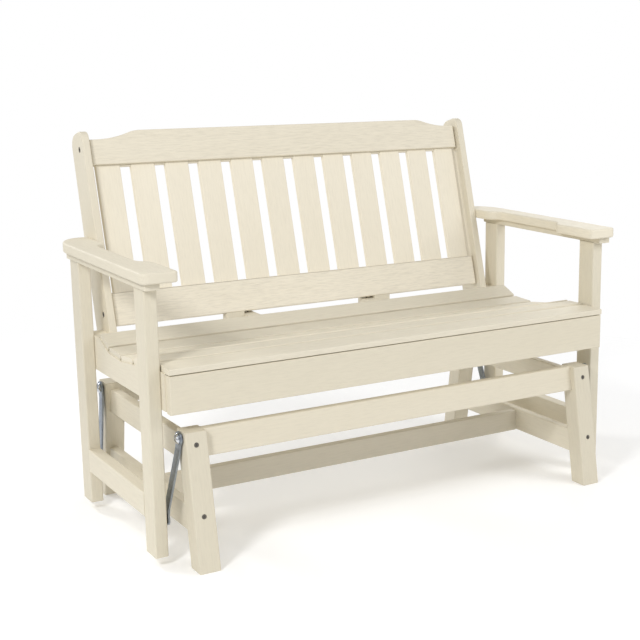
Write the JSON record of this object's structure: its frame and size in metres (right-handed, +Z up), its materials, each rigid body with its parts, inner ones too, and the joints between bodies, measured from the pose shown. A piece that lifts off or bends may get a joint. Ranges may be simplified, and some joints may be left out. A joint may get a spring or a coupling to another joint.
{
  "type": "glider bench",
  "caption": "Outdoor glider bench in wood-grain plastic lumber: a slatted seat with arms and a leaning back hangs on steel links from a splayed base and glides front to back.",
  "frame": {"origin": "on the floor, under the middle of the bench's overall box", "axes": "+X to the right seen from the front, along the bench's length; +Y from front to back; +Z up"},
  "size_m": [1.314, 0.7328, 0.9373],
  "materials": {
    "ivory_lumber": "ivory plastic lumber, satin, with embossed wood grain",
    "galvanised_steel": "zinc plated, dull grey-blue",
    "screw_steel": "dark coated",
    "nylon": "black nylon"
  },
  "bodies": {
    "base": {"base_front_rail": "ivory_lumber", "base_lower_side_rail_left": "ivory_lumber", "base_lower_side_rail_right": "ivory_lumber", "base_rear_rail": "ivory_lumber", "base_screws": "screw_steel", "base_stretcher": "ivory_lumber", "base_upper_side_rail_left": "ivory_lumber", "base_upper_side_rail_right": "ivory_lumber", "front_leg_left": "ivory_lumber", "front_leg_right": "ivory_lumber", "rear_leg_left": "ivory_lumber", "rear_leg_right": "ivory_lumber", "upper_pivot_bolts": "galvanised_steel", "upper_pivot_washers": "nylon"},
    "front_link_left": {"front_link_left": "galvanised_steel"},
    "front_link_right": {"front_link_right": "galvanised_steel"},
    "rear_link_left": {"rear_link_left": "galvanised_steel"},
    "rear_link_right": {"rear_link_right": "galvanised_steel"},
    "seat": {"arm_cleat_left": "ivory_lumber", "arm_cleat_right": "ivory_lumber", "arm_left": "ivory_lumber", "arm_right": "ivory_lumber", "back_post_left": "ivory_lumber", "back_post_right": "ivory_lumber", "back_rest_block_left": "ivory_lumber", "back_rest_block_right": "ivory_lumber", "back_screws": "screw_steel", "back_slat_01": "ivory_lumber", "back_slat_02": "ivory_lumber", "back_slat_03": "ivory_lumber", "back_slat_04": "ivory_lumber", "back_slat_05": "ivory_lumber", "back_slat_06": "ivory_lumber", "back_slat_07": "ivory_lumber", "back_slat_08": "ivory_lumber", "back_slat_09": "ivory_lumber", "back_slat_10": "ivory_lumber", "back_slat_11": "ivory_lumber", "back_slat_12": "ivory_lumber", "centre_stringer_left": "ivory_lumber", "centre_stringer_right": "ivory_lumber", "crest_rail": "ivory_lumber", "end_stringer_left": "ivory_lumber", "end_stringer_right": "ivory_lumber", "front_post_left": "ivory_lumber", "front_post_right": "ivory_lumber", "lower_back_rail": "ivory_lumber", "lower_pivot_bolts": "galvanised_steel", "lower_pivot_spacers": "nylon", "rear_post_left": "ivory_lumber", "rear_post_right": "ivory_lumber", "seat_apron": "ivory_lumber", "seat_lower_side_rail_left": "ivory_lumber", "seat_lower_side_rail_right": "ivory_lumber", "seat_slat_1": "ivory_lumber", "seat_slat_2": "ivory_lumber", "seat_slat_3": "ivory_lumber", "seat_slat_4": "ivory_lumber", "seat_slat_5": "ivory_lumber", "seat_slat_6": "ivory_lumber"}
  },
  "joints": [
    {"name": "glide", "type": "hinge", "parent": "base", "child": "front_link_left", "pos_m": [-0.57945, -0.28676, 0.297], "axis": [1, 0, 0], "range_deg": [-12, 12]},
    {"name": "seat_swing", "type": "hinge", "parent": "front_link_left", "child": "seat", "pos_m": [-0.59965, -0.24576, 0.1], "axis": [1, 0, 0], "range_deg": [-14.3, 14.3]},
    {"name": "front_right_swing", "type": "hinge", "parent": "base", "child": "front_link_right", "pos_m": [0.57945, -0.28676, 0.297], "axis": [1, 0, 0], "range_deg": [-12.1, 12.1]},
    {"name": "rear_left_swing", "type": "hinge", "parent": "base", "child": "rear_link_left", "pos_m": [-0.57945, 0.23124, 0.297], "axis": [1, 0, 0], "range_deg": [-12.1, 12.1]},
    {"name": "rear_right_swing", "type": "hinge", "parent": "base", "child": "rear_link_right", "pos_m": [0.57945, 0.23124, 0.297], "axis": [1, 0, 0], "range_deg": [-12.1, 12.1]}
  ],
  "couplings": [
    {"joint": "seat_swing", "follows": "glide", "ratio": -1.1858},
    {"joint": "front_right_swing", "follows": "glide", "ratio": 1},
    {"joint": "rear_left_swing", "follows": "glide", "ratio": 1},
    {"joint": "rear_right_swing", "follows": "glide", "ratio": 1}
  ]
}
